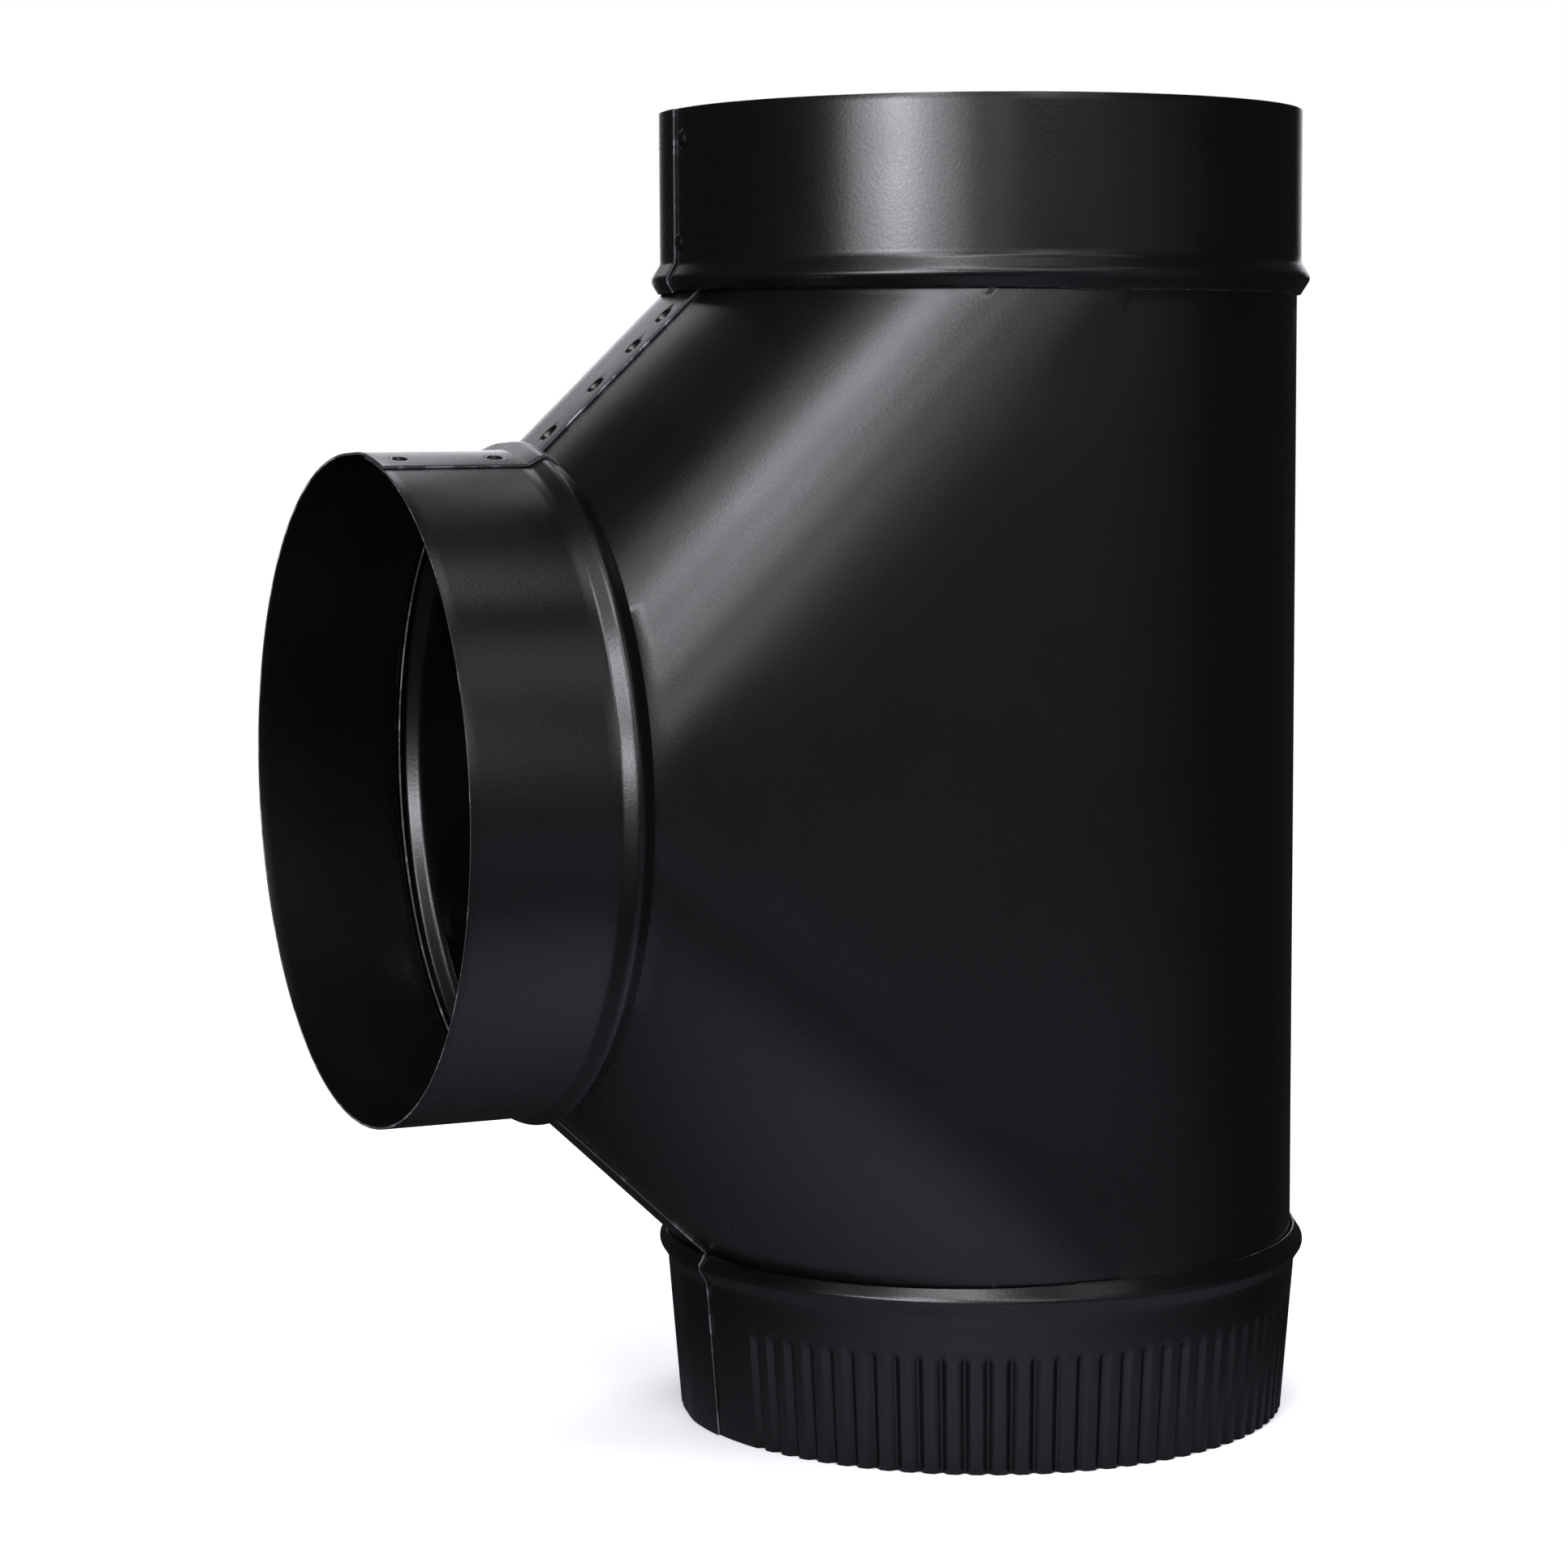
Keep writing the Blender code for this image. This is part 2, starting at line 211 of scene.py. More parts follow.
def body_grids():
    """Outer skin of the body: the slanted half of each side, its flat, and the round back."""
    spot = BODY_SEAM - SPOT_FROM_SEAM
    fine = (spot + SPOT_MARGIN, SPOT_TURN, spot - SPOT_MARGIN)
    far = spaced(BODY_SEAM, LAP_SIDE_TURN, *fine, FAR_TURN, -SIDE)
    near = spaced(SIDE, PLAIN_TURN, BODY_SEAM + BODY_EASE_TURN, EASE_TURN, BODY_SEAM, LAP_SIDE_TURN,
                  *fine, LAP_SIDE_TURN, BODY_SEAM - LAP_TURN)
    near_sunk = LAP_STEP * (1 - eased((near - BODY_SEAM) / BODY_EASE_TURN))
    slant = slant_shares()
    down = np.linspace(0, 1, BACK_ROWS + 1)[:, None, None]
    grids = []
    for angle, sunk in ((far, np.zeros_like(far)), (near, near_sunk)):
        flat = []
        for arm, branch_angle in ((TOP, angle), (BOTTOM, 180 - angle)):
            run = body_rows(arm, BODY_DEPTH + sunk, sunk, angle)
            branch = body_rows(BRANCH, BODY_DEPTH + sunk, sunk, branch_angle)
            middle = run[-1] * (1 - slant) + branch[-1] * slant
            grids.append(np.concatenate([run, middle[1:-1], branch[::-1]]))
            flat.append(middle[:, -1 if angle is far else 0])
        grids.append(flat[0] * (1 - down) + flat[1] * down)
    angle = spaced(-SIDE, PLAIN_TURN, -3 * SIDE)
    plain = np.full_like(angle, BODY_DEPTH)
    top, bottom = (body_rows(arm, plain, 0.0, angle) for arm in (TOP, BOTTOM))
    back = top[-1] * (1 - down) + bottom[-1] * down
    grids.append(np.concatenate([top, back[1:-1], bottom[::-1]]))
    return [bulged(grid) for grid in grids]


class Flow:
    """A node's output, so that sums of outputs can be written as sums."""

    def __init__(self, nodes, node, output):
        self.nodes, self.node = nodes, node
        self.socket = node.outputs[output] if node.outputs else None

    def __add__(self, other):
        return self.nodes.maths("ADD", self, other)

    def __sub__(self, other):
        return self.nodes.maths("SUBTRACT", self, other)

    def __rsub__(self, other):
        return self.nodes.maths("SUBTRACT", other, self)

    def __mul__(self, other):
        return self.nodes.maths("MULTIPLY", self, other)

    def __truediv__(self, other):
        return self.nodes.maths("DIVIDE", self, other)

    __radd__, __rmul__ = __add__, __mul__


class Nodes:
    """Adds nodes to a tree: their settings first, then the values or links of their sockets."""

    def __init__(self, tree):
        self.tree = tree

    def add(self, kind, settings=None, sockets=None, output=0):
        node = self.tree.nodes.new(kind)
        for name, value in (settings or {}).items():
            setattr(node, name, value)
        for name, value in (sockets or {}).items():
            if isinstance(value, Flow):
                self.tree.links.new(value.socket, node.inputs[name])
            else:
                node.inputs[name].default_value = value
        return Flow(self, node, output)

    def maths(self, operation, *values):
        return self.add("ShaderNodeMath", {"operation": operation}, dict(enumerate(values)))


def fresh_nodes(owner):
    """The emptied node tree of a new material or world."""
    owner.use_nodes = True
    owner.node_tree.nodes.clear()
    return Nodes(owner.node_tree)


PAINT_DARK, PAINT_PALE = (0.0010, 0.0010, 0.0012, 1), (0.0022, 0.0022, 0.0026, 1)
PAINT_ROUGHNESS = 0.28
CLOUD_SCALE, SWELL_SCALE, PEBBLE_SCALE, GRAIN_SCALE = 38.0, 16.0, 1300.0, 2400.0
PEBBLE_HEIGHT, GRAIN_HEIGHT, SWELL_HEIGHT = 0.000012, 0.000008, 0.00012


def black_paint(name, seed):
    """Black heat-resistant paint, sprayed thin: satin, finely pebbled and a little uneven."""
    material = bpy.data.materials.new(name)
    nodes = fresh_nodes(material)
    place = nodes.add("ShaderNodeTexCoord", output="Object")
    cloud = nodes.add("ShaderNodeTexNoise", {"noise_dimensions": "4D"},
                      {"Vector": place, "W": seed, "Scale": CLOUD_SCALE, "Detail": 3.0,
                       "Roughness": 0.55})
    grain = nodes.add("ShaderNodeTexNoise", None,
                      {"Vector": place, "Scale": GRAIN_SCALE, "Detail": 2.0, "Roughness": 0.6})
    pebble = nodes.add("ShaderNodeTexVoronoi", {"feature": "SMOOTH_F1"},
                       {"Vector": place, "Scale": PEBBLE_SCALE, "Smoothness": 0.8})
    swell = nodes.add("ShaderNodeTexNoise", {"noise_dimensions": "4D"},
                      {"Vector": place, "W": seed, "Scale": SWELL_SCALE, "Detail": 1.0})
    colour = nodes.add("ShaderNodeMix", {"data_type": "RGBA"},
                       {0: cloud * 0.7 + grain * 0.3, 6: PAINT_DARK, 7: PAINT_PALE}, 2)
    rough = PAINT_ROUGHNESS + (cloud - 0.5) * 0.10 + (grain - 0.5) * 0.08
    height = pebble * PEBBLE_HEIGHT + grain * GRAIN_HEIGHT + swell * SWELL_HEIGHT
    bump = nodes.add("ShaderNodeBump", None, {"Strength": 1.0, "Distance": 1.0, "Height": height})
    shader = nodes.add("ShaderNodeBsdfPrincipled", None,
                       {"Base Color": colour, "Roughness": rough, "Normal": bump, "IOR": 1.5})
    nodes.add("ShaderNodeOutputMaterial", None, {"Surface": shader})
    return material


EDGE_PAINT, EDGE_STEEL = (0.030, 0.030, 0.032, 1), (0.28, 0.28, 0.29, 1)
RUB_SCALE, RUB_HEIGHT = 140.0, 0.00005


def cut_edge(name):
    """The sheet's cut edge, where the paint is thin and rubbed through to grey steel in places."""
    material = bpy.data.materials.new(name)
    nodes = fresh_nodes(material)
    place = nodes.add("ShaderNodeTexCoord", output="Object")
    rub = nodes.add("ShaderNodeTexNoise", None,
                    {"Vector": place, "Scale": RUB_SCALE, "Detail": 5.0, "Roughness": 0.65})
    worn = nodes.add("ShaderNodeMapRange", {"interpolation_type": "SMOOTHSTEP"},
                     {"Value": rub, "From Min": 0.50, "From Max": 0.66})
    colour = nodes.add("ShaderNodeMix", {"data_type": "RGBA"},
                       {0: worn, 6: EDGE_PAINT, 7: EDGE_STEEL}, 2)
    bump = nodes.add("ShaderNodeBump", None,
                     {"Strength": 1.0, "Distance": 1.0, "Height": rub * RUB_HEIGHT})
    shader = nodes.add("ShaderNodeBsdfPrincipled", None,
                       {"Base Color": colour, "Roughness": 0.42 - worn * 0.08,
                        "Metallic": worn * 0.7, "Normal": bump})
    nodes.add("ShaderNodeOutputMaterial", None, {"Surface": shader})
    return material


class ShapingTree:
    """A Geometry Nodes tree that moves a sheet's points along their normals, then paints it."""

    def __init__(self, name, *inputs):
        self.tree = bpy.data.node_groups.new(name, "GeometryNodeTree")
        for label, kind in (("Sheet", "Geometry"), *inputs, ("Paint", "Material")):
            self.tree.interface.new_socket(label, in_out="INPUT", socket_type="NodeSocket" + kind)
        self.tree.interface.new_socket("Sheet", in_out="OUTPUT", socket_type="NodeSocketGeometry")
        self.nodes = Nodes(self.tree)
        self.given = self.nodes.add("NodeGroupInput").node

    def __getitem__(self, label):
        return Flow(self.nodes, self.given, label)

    def finish(self, out):
        """Adds the last nodes, which move the points out by a distance and paint the sheet."""
        nodes = self.nodes
        normal = nodes.add("GeometryNodeInputNormal")
        shift = nodes.add("ShaderNodeVectorMath", {"operation": "SCALE"}, {0: normal, "Scale": out})
        moved = nodes.add("GeometryNodeSetPosition", None,
                          {"Geometry": self["Sheet"], "Offset": shift})
        whole = nodes.add("GeometryNodeRealizeInstances", None, {"Geometry": moved})
        painted = nodes.add("GeometryNodeSetMaterial", None,
                            {"Geometry": whole, "Material": self["Paint"]})
        nodes.add("NodeGroupOutput", None, {0: painted})

    def shape(self, sheet, values):
        """Adds the tree to a sheet and sets its inputs by the identifiers of their sockets."""
        modifier = sheet.modifiers.new(self.tree.name, "NODES")
        modifier.node_group = self.tree
        for socket in self.tree.interface.items_tree:
            if socket.in_out == "INPUT" and socket.name in values:
                modifier[socket.identifier] = values[socket.name]


def spot_press():
    """A tree that presses a sheet in, or out where the depth is negative, along short lines."""
    press = ShapingTree("pressed_spots", ("Spots", "Object"), ("Flat radius", "Float"),
                        ("Wall", "Float"), ("Depth", "Float"))
    nodes = press.nodes
    lines = nodes.add("GeometryNodeObjectInfo", None, {"Object": press["Spots"]}, "Geometry")
    near = nodes.add("GeometryNodeProximity", {"target_element": "EDGES"}, {0: lines}, "Distance")
    pressed = nodes.add("ShaderNodeMapRange", {"interpolation_type": "SMOOTHSTEP"},
                        {"Value": near, "From Min": press["Flat radius"],
                         "From Max": press["Flat radius"] + press["Wall"],
                         "To Min": 1.0, "To Max": 0.0})
    press.finish(pressed * press["Depth"] * -1.0)
    return press


PRESS = spot_press()


def press_spots(sheet, places, spot, paint):
    """Presses spots into a sheet along short lines, and returns the object that holds the lines."""
    mesh = bpy.data.meshes.new(sheet.name + "_spots")
    ends = [tuple(end) for line in places for end in line]
    mesh.from_pydata(ends, [(i, i + 1) for i in range(0, len(ends), 2)], [])
    lines = bpy.data.objects.new(mesh.name, mesh)
    bpy.context.scene.collection.objects.link(lines)
    PRESS.shape(sheet, {"Spots": lines, "Flat radius": spot.radius, "Wall": spot.wall,
                        "Depth": spot.depth, "Paint": paint})
    return lines


def painted_sheet(name, mesh, paint, edge):
    """An object for a skin, painted, with a second slot for its cut edges."""
    mesh.materials.append(paint)
    mesh.materials.append(edge)
    sheet = bpy.data.objects.new(name, mesh)
    bpy.context.scene.collection.objects.link(sheet)
    return sheet


EDGE_ROUND, EDGE_SEGMENTS, EDGE_ANGLE = 0.00020, 3, 60
SHARP_ANGLE = 28


def finished(sheet, *guides):
    """Gives a sheet its thickness and rounded cut edges and makes it a plain mesh."""
    wall = sheet.modifiers.new("thickness", "SOLIDIFY")
    wall.thickness, wall.offset, wall.use_even_offset = SHEET, -1.0, True
    wall.use_quality_normals = True
    wall.material_offset_rim = 1
    edge = sheet.modifiers.new("rounding", "BEVEL")
    edge.width, edge.segments, edge.limit_method = EDGE_ROUND, EDGE_SEGMENTS, "ANGLE"
    edge.angle_limit = math.radians(EDGE_ANGLE)
    seen = bpy.context.evaluated_depsgraph_get()
    mesh = bpy.data.meshes.new_from_object(sheet.evaluated_get(seen), depsgraph=seen)
    sheet.modifiers.clear()
    sheet.data = mesh
    mesh.name = sheet.name
    mesh.shade_smooth()
    mesh.set_sharp_from_angle(angle=math.radians(SHARP_ANGLE))
    for guide in guides:
        bpy.data.objects.remove(guide)
    return sheet


def settle(sheet, node):
    """Makes a finished sheet stand for its solid."""
    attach(sheet, "root")
    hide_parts(node)


def slant_spots():
    """Short lines down the upper slant where the body's spots are pressed."""
    angle = BODY_SEAM - SPOT_FROM_SEAM
    upper = arm_points(TOP, RUN_SLANT, BODY_RADIUS, angle)
    lower = arm_points(BRANCH, BRANCH_SLANT, BODY_RADIUS, angle)
    half_run = BODY_SPOT.run / 2 / np.linalg.norm(lower - upper)
    return [[upper * (1 - t) + lower * t for t in (down - half_run, down + half_run)]
            for down in SPOTS_DOWN_SLANT]


body_paint = black_paint("body_black", 1.7)
raw_edge = cut_edge("cut_edge")
body = painted_sheet("body_sheet", skin_mesh("body_sheet", body_grids()), body_paint, raw_edge)
guide = press_spots(body, slant_spots(), BODY_SPOT, body_paint)
settle(finished(body, guide), "body_shell")

# ---------------------------------------------------------------------------------------------
# Top collar: a plain rolled ring of the same sheet, lapped over the body and locked to it by the
# bead rolled through both. Two spots pressed from inside hold its own lap seam.

TOP_REACH, TOP_SEAM = 0.1557, -4.3
RING_EASE = 0.0120
RING_EASE_TURN = math.degrees(RING_EASE / COLLAR_RADIUS)
RING_BEAD = spaced(BEAD_HALF, 0.0004, 0)
RING_ROWS_BEHIND = 9
CUT_EDGE_HEIGHT = SEAT_GAP + SHEET / 2
RING_ROW, BUTTON_ROW, BUTTON_ROWS_REACH = 0.0025, 0.0003, 0.0033
UNDER_LAP_TURN = 0.9
TOP_SPOTS, TOP_SPOT = ((0.0072, -0.5), (0.0309, -2.3)), Spot(0.0004, 0.0010, 0.0015, -0.0009)


def ring_columns(turns, seam):
    """Angles and lap heights of a ring's columns, by the angle turned from its outer free edge."""
    return seam - turns, LAP_STEP * (1 - eased((turns - LAP_TURN) / RING_EASE_TURN))


def ring_turns(fine_from, fine_to):
    """Turns of a ring's columns, finer across its ease and its spots, in its lap or before it."""
    ease_to = LAP_TURN + RING_EASE_TURN
    fine = (fine_from, SPOT_TURN, fine_to)
    if fine_to < LAP_TURN:
        return spaced(0, EASE_TURN, *fine, EASE_TURN, LAP_TURN, EASE_TURN, ease_to, PLAIN_TURN,
                      360, UNDER_LAP_TURN, 360 + LAP_TURN)
    return spaced(0, EASE_TURN, ease_to, PLAIN_TURN, *fine, UNDER_LAP_TURN, 360 + LAP_TURN)


def ring_bead(arm, angle, raised):
    """Rows of a ring across its bead, down to its cut edge on the body."""
    return beaded_rows(arm, RING_BEAD, RING_ROWS_BEHIND, -raised, CUT_EDGE_HEIGHT, angle, False)


def collar_alongs(arm, reach, spots):
    """Places of the rows between a collar's rim and its bead, finer at its pressed spots."""
    stops = [reach]
    for place in spots:
        stops += [RING_ROW, place + BUTTON_ROWS_REACH, BUTTON_ROW, place - BUTTON_ROWS_REACH]
    return spaced(*stops, RING_ROW, arm.bead + BEAD_HALF)[:-1]


def plain_collar(name, arm, reach, seam, spots_from_rim, spot):
    """A plain ring with spots, given by distance from the rim and angle, beside its seam."""
    spots = [(reach - from_rim, spot_angle) for from_rim, spot_angle in spots_from_rim]
    turned = [(seam - spot_angle) % 360 for _, spot_angle in spots]
    turns = ring_turns(min(turned) - SPOT_MARGIN, max(turned) + SPOT_MARGIN)
    angle, raised = ring_columns(turns, seam)
    alongs = collar_alongs(arm, reach, [place for place, _ in spots])
    rows = [arm_points(arm, along, COLLAR_RADIUS + raised, angle) for along in alongs]
    mesh = skin_mesh(name, [np.array(rows + ring_bead(arm, angle, raised))])
    paint = black_paint(name + "_black", arm.bead + reach * 10)
    sheet = painted_sheet(name, mesh, paint, raw_edge)
    skin = COLLAR_RADIUS + (LAP_STEP if max(turned) < LAP_TURN else 0.0)
    half_run = spot.run / 2
    places = [[arm_points(arm, place + s, skin, spot_angle) for s in (-half_run, half_run)]
              for place, spot_angle in spots]
    return finished(sheet, press_spots(sheet, places, spot, paint))


settle(plain_collar("top_ring", TOP, TOP_REACH, TOP_SEAM, TOP_SPOTS, TOP_SPOT),
       "top_collar")

# ---------------------------------------------------------------------------------------------
# Branch collar: a second plain ring on the side opening, with its seam on top, turned a little to
# the near side. Its bead grips the body round the branch.

BRANCH_REACH, BRANCH_SEAM = 0.1589, 16.9
BRANCH_SPOTS, BRANCH_SPOT = ((0.0058, 12.3), (0.0283, 12.3)), Spot(0.0004, 0.0011, 0.0009, 0.0007)
settle(plain_collar("branch_ring", BRANCH, BRANCH_REACH, BRANCH_SEAM, BRANCH_SPOTS, BRANCH_SPOT),
       "branch_collar")

# ---------------------------------------------------------------------------------------------
# Crimped collar: a third ring below, drawn in and crimped so that it slides inside the next pipe.
# Narrow grooves rolled into its end leave wide ribs between them, and stop short of its lap seam.

BOTTOM_REACH, BOTTOM_SEAM = 0.1573, 6.2
CRIMP_BAND, CRIMP_DRAWN_IN, CRIMP_DEPTH, CRIMP_ENTRY = 0.0080, 0.0030, 0.0012, 0.0030
CRIMP_PITCH, GROOVES, GROOVE_SHARE = 360 / 87, 79, 0.62
LAST_GROOVE = 347.3
FIRST_GROOVE = LAST_GROOVE - (GROOVES - 1) * CRIMP_PITCH
COLUMNS_PER_CRIMP = 13
CRIMPED_TURN, CRIMPED_ROW, ENTRY_ROW = 1.0, 0.0040, 0.0004


def crimper():
    """A tree that rolls grooves into a ring between ribs that lie flush with it."""
    amounts = ("Seam", "Pitch", "First groove", "Grooves", "Groove share", "Starts at", "Entry",
               "Depth")
    crimps = ShapingTree("crimp_ribs", ("Crossing", "Vector"), *((a, "Float") for a in amounts))
    nodes = crimps.nodes
    position = nodes.add("GeometryNodeInputPosition")
    from_axis = nodes.add("ShaderNodeVectorMath", {"operation": "SUBTRACT"},
                          {0: position, 1: crimps["Crossing"]})
    apart = nodes.add("ShaderNodeSeparateXYZ", None, {0: from_axis}).node
    across, aside, above = (Flow(nodes, apart, axis) for axis in "XYZ")
    angle = nodes.maths("ARCTAN2", aside * -1.0, across * -1.0) * math.degrees(1)
    turned = nodes.maths("FLOORED_MODULO", crimps["Seam"] - angle, 360.0)
    past = (turned - crimps["First groove"]) / crimps["Pitch"]
    from_groove = nodes.maths("ABSOLUTE", nodes.maths("FRACT", past + 0.5) - 0.5)
    groove = nodes.add("ShaderNodeMapRange", {"interpolation_type": "SMOOTHSTEP"},
                       {"Value": from_groove, "From Min": 0.0,
                        "From Max": crimps["Groove share"] * 0.5, "To Min": 1.0, "To Max": 0.0})
    entered = nodes.add("ShaderNodeMapRange", {"interpolation_type": "SMOOTHSTEP"},
                        {"Value": above * -1.0, "From Min": crimps["Starts at"],
                         "From Max": crimps["Starts at"] + crimps["Entry"]})
    begun = nodes.maths("GREATER_THAN", past, -0.5)
    ended = nodes.maths("LESS_THAN", past, crimps["Grooves"] - 0.5)
    crimps.finish(groove * entered * begun * ended * crimps["Depth"] * -1.0)
    return crimps


bead_end = BOTTOM.bead + BEAD_HALF
taper = CRIMP_DRAWN_IN / (BOTTOM_REACH - bead_end)
crimps_from = bead_end + CRIMP_BAND
turns = spaced(0, CRIMPED_TURN, LAP_TURN, EASE_TURN, FIRST_GROOVE - CRIMP_PITCH / 2,
               CRIMP_PITCH / COLUMNS_PER_CRIMP, LAST_GROOVE + CRIMP_PITCH / 2,
               CRIMPED_TURN, 360, CRIMPED_TURN, 360 + LAP_TURN)
angle, raised = ring_columns(turns, BOTTOM_SEAM)
alongs = spaced(BOTTOM_REACH, CRIMPED_ROW, crimps_from + CRIMP_ENTRY, ENTRY_ROW, crimps_from,
                RING_ROW, bead_end)[:-1]
rows = [arm_points(BOTTOM, a, COLLAR_RADIUS + raised - taper * (a - bead_end), angle)
        for a in alongs]
crimped_mesh = skin_mesh("crimped_ring", [np.array(rows + ring_bead(BOTTOM, angle, raised))])
crimped_paint = black_paint("crimped_ring_black", 9.1)
crimped = painted_sheet("crimped_ring", crimped_mesh, crimped_paint, raw_edge)
crimper().shape(crimped, {
    "Crossing": CROSSING.tolist(), "Seam": BOTTOM_SEAM, "Pitch": CRIMP_PITCH,
    "First groove": FIRST_GROOVE, "Grooves": GROOVES, "Groove share": GROOVE_SHARE,
    "Starts at": crimps_from, "Entry": CRIMP_ENTRY, "Depth": CRIMP_DEPTH, "Paint": crimped_paint,
})
settle(finished(crimped), "crimped_collar")

# ---------------------------------------------------------------------------------------------
# Studio: a pale floor that fades into a white surround, and soft boxes in front, above and behind.
# What the paint mirrors of the floor is kept to two dim pools, at the tee's foot and in front:
# painted light, the floor's colour in reflections made brighter there to stand in for the boxes'
# light falling on the floor.

FLOOR_RADIUS, FLOOR_SIDES, FLOOR_FADE = 4.0, 96, (0.3, 1.3)
# Two painted pools of light on the floor, seen only in reflections: their middles and the distances
# over which they fade.
PAINTED_POOL_NEAR, PAINTED_POOL_FAR = ((-0.02, -0.12, 0.0), 0.0, 0.22), ((0.25, -0.65, 0.0), 0.10, 0.60)
FLOOR_COLOUR = (0.92, 0.925, 0.88, 1)
# The floor's colour in reflections within each painted light pool.
PAINTED_LIGHT_NEAR, PAINTED_LIGHT_FAR = (0.325, 0.32, 0.355, 1), (0.14, 0.138, 0.155, 1)
SEEN_SURROUND, FLOOR_SURROUND, MIRRORED_SURROUND = 1.0, 1.0, 0.023
SEEN_TINT, LIGHT_TINT = (1, 1, 1, 1), (0.98, 0.96, 1.12, 1)

floor_paper = bpy.data.materials.new("floor_paper")
paper = fresh_nodes(floor_paper)
mirrored = paper.add("ShaderNodeLightPath", output="Is Glossy Ray")
spot = paper.add("ShaderNodeTexCoord", output="Object")
fades = []
for middle, near, far in (((0.0, 0.0, 0.0), *FLOOR_FADE), PAINTED_POOL_NEAR, PAINTED_POOL_FAR):
    away = paper.add("ShaderNodeVectorMath", {"operation": "DISTANCE"},
                     {0: spot, 1: middle}, "Value")
    fades.append(paper.add("ShaderNodeMapRange", {"interpolation_type": "SMOOTHSTEP"},
                           {"Value": away, "From Min": near, "From Max": far}))
# In reflections the floor shows the painted light pools and turns clear beyond them.
gone = fades[0] + mirrored * (fades[1] * fades[2] - fades[0])
painted_light_pool = paper.add("ShaderNodeMix", {"data_type": "RGBA"},
                 {0: fades[1], 6: PAINTED_LIGHT_NEAR, 7: PAINTED_LIGHT_FAR}, 2)
shade = paper.add("ShaderNodeMix", {"data_type": "RGBA"},
                  {0: mirrored, 6: FLOOR_COLOUR, 7: painted_light_pool}, 2)
matt = paper.add("ShaderNodeBsdfDiffuse", None, {"Color": shade})
clear = paper.add("ShaderNodeBsdfTransparent")
mixed = paper.add("ShaderNodeMixShader", None, {0: gone, 1: matt, 2: clear})
paper.add("ShaderNodeOutputMaterial", None, {"Surface": mixed})
floor_disc = bmesh.new()
bmesh.ops.create_circle(floor_disc, cap_ends=True, segments=FLOOR_SIDES, radius=FLOOR_RADIUS)
floor_mesh = bpy.data.meshes.new("floor")
floor_disc.to_mesh(floor_mesh)
floor_disc.free()
floor_mesh.materials.append(floor_paper)
floor = bpy.data.objects.new("floor", floor_mesh)
bpy.context.scene.collection.objects.link(floor)

surround = bpy.data.worlds.new("surround")
bpy.context.scene.world = surround
air = fresh_nodes(surround)
surround.cycles.sampling_method = "NONE"
seen = air.add("ShaderNodeLightPath", output="Is Camera Ray")
scattered = Flow(air, seen.node, "Is Diffuse Ray")
strength = (MIRRORED_SURROUND + seen * (SEEN_SURROUND - MIRRORED_SURROUND)
            + scattered * (FLOOR_SURROUND - MIRRORED_SURROUND))
tint = air.add("ShaderNodeMix", {"data_type": "RGBA"}, {0: seen, 6: LIGHT_TINT, 7: SEEN_TINT}, 2)
glow = air.add("ShaderNodeBackground", None, {"Color": tint, "Strength": strength})
air.add("ShaderNodeOutputWorld", None, {"Surface": glow})

MIDDLE = Vector((0.0, 0.0, 0.16))
BOX_DISTANCE = 2.0
BOX_COLOUR = (0.955, 0.945, 1.0)


def soft_box(name, heading, rise, wide, high, power):
    """A soft box facing the tee, its place and its size given by angles as seen from the tee."""
    light = bpy.data.lights.new(name, "AREA")
    light.shape = "RECTANGLE"
    light.size = 2 * BOX_DISTANCE * math.tan(math.radians(wide / 2))
    light.size_y = 2 * BOX_DISTANCE * math.tan(math.radians(high / 2))
    light.energy, light.color = power, BOX_COLOUR
    box = bpy.data.objects.new(name, light)
    heading, rise = math.radians(heading), math.radians(rise)
    level = Vector((math.cos(heading), math.sin(heading), 0))
    outward = level * math.cos(rise) + Vector((0, 0, math.sin(rise)))
    box.location = MIDDLE + outward * BOX_DISTANCE
    box.rotation_euler = outward.to_track_quat("Z", "Y").to_euler()
    bpy.context.scene.collection.objects.link(box)


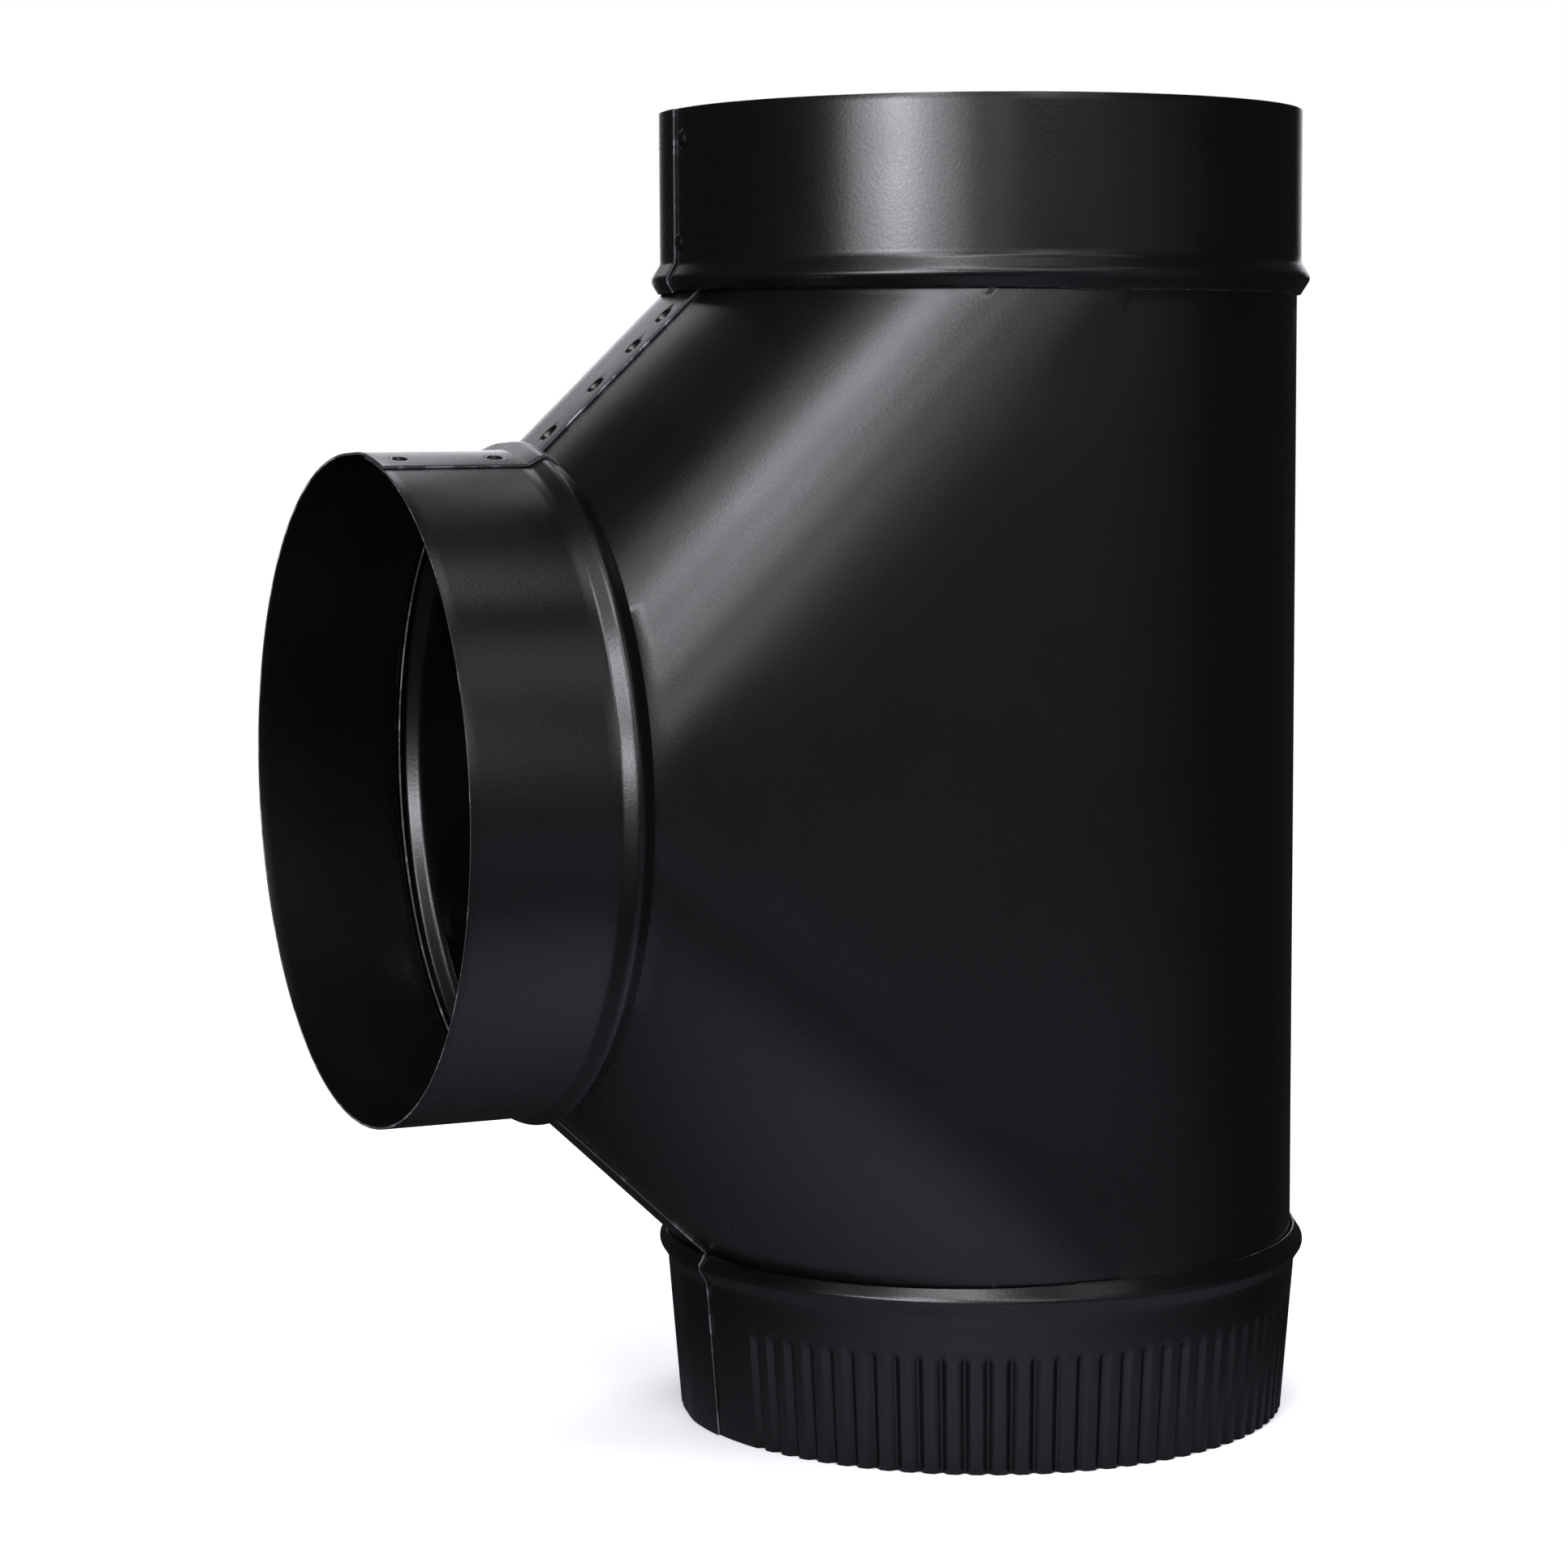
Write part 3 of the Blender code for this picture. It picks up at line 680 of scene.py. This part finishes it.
# Name, heading and rise as seen from the tee, width and height in degrees, and watts
for box in (
    ("low_0", 313, 6, 22, 18, 0.2),
    ("low_1", 293, 6, 26, 18, 0.45),
    ("low_2", 251, 9, 8, 9, 0.8),
    ("low_3", 235, 9, 8, 9, 2.4),
    ("low_4", 226, 9, 9, 9, 3.6),
    ("low_5", 216, 9.5, 11, 9, 13.4),
    ("low_6", 204, 9, 10, 9, 4.6),
    ("middle_0", 279, 20, 18, 20, 1.2),
    ("middle_1", 265, 18, 11, 10, 1.3),
    ("middle_2", 265, 27, 10, 10, 1.0),
    ("middle_3", 227, 27, 7.1, 9, 6.2),
    ("middle_4", 259, 36, 6.5, 9, 1.2),
    ("middle_5", 251, 36, 6.5, 9, 2.1),
    ("middle_6", 219, 36, 6.5, 9, 6.9),
    ("high_1", 293, 42, 19.5, 18, 1.3),
    ("high_2", 243, 45, 5.7, 9, 3.3),
    ("high_3", 228, 58, 14, 16, 9.4),
    ("high_4", 198, 58, 14, 16, 1.6),
    ("high_5", 288, 74, 23.4, 16, 3.0),
    ("behind_1", 83, 24, 24, 18, 1.7),
    ("behind_2", 83, 42, 19.5, 18, 3.7),
    ("behind_3", 43, 42, 19.5, 18, 12.5),
    ("rim", 77, 5, 12, 12, 0.9),
    ("far", 60, 12, 34, 14, 4.0),
):
    soft_box(*box)

# ---------------------------------------------------------------------------------------------
# Camera: near the tee's middle height, a little to the branch side, looking slightly down.

CAMERA_PLACE = (-0.39730, -0.85606, 0.24839)
CAMERA_TURN, CAMERA_TILT, CAMERA_ROLL = -24.218, 5.7297, -0.2924
FOCAL_PIXELS, FRAME_PIXELS, SENSOR = 4877.87, 1932, 36.0

turn, tilt, roll = (math.radians(a) for a in (CAMERA_TURN, CAMERA_TILT, CAMERA_ROLL))
ahead = Vector((-math.sin(turn) * math.cos(tilt), math.cos(turn) * math.cos(tilt), -math.sin(tilt)))
level = Vector((math.cos(turn), math.sin(turn), 0))
upright = level.cross(ahead)
right = level * math.cos(roll) + upright * math.sin(roll)
top = upright * math.cos(roll) - level * math.sin(roll)
lens = bpy.data.cameras.new("camera")
lens.sensor_width, lens.sensor_fit = SENSOR, "HORIZONTAL"
lens.lens = FOCAL_PIXELS / FRAME_PIXELS * SENSOR
lens.clip_start, lens.clip_end = 0.05, 50
camera = bpy.data.objects.new("camera", lens)
turned = Matrix((right, top, -ahead)).transposed().to_4x4()
camera.matrix_world = Matrix.Translation(CAMERA_PLACE) @ turned
bpy.context.scene.collection.objects.link(camera)
bpy.context.scene.camera = camera
bpy.context.scene.view_settings.view_transform = "Standard"
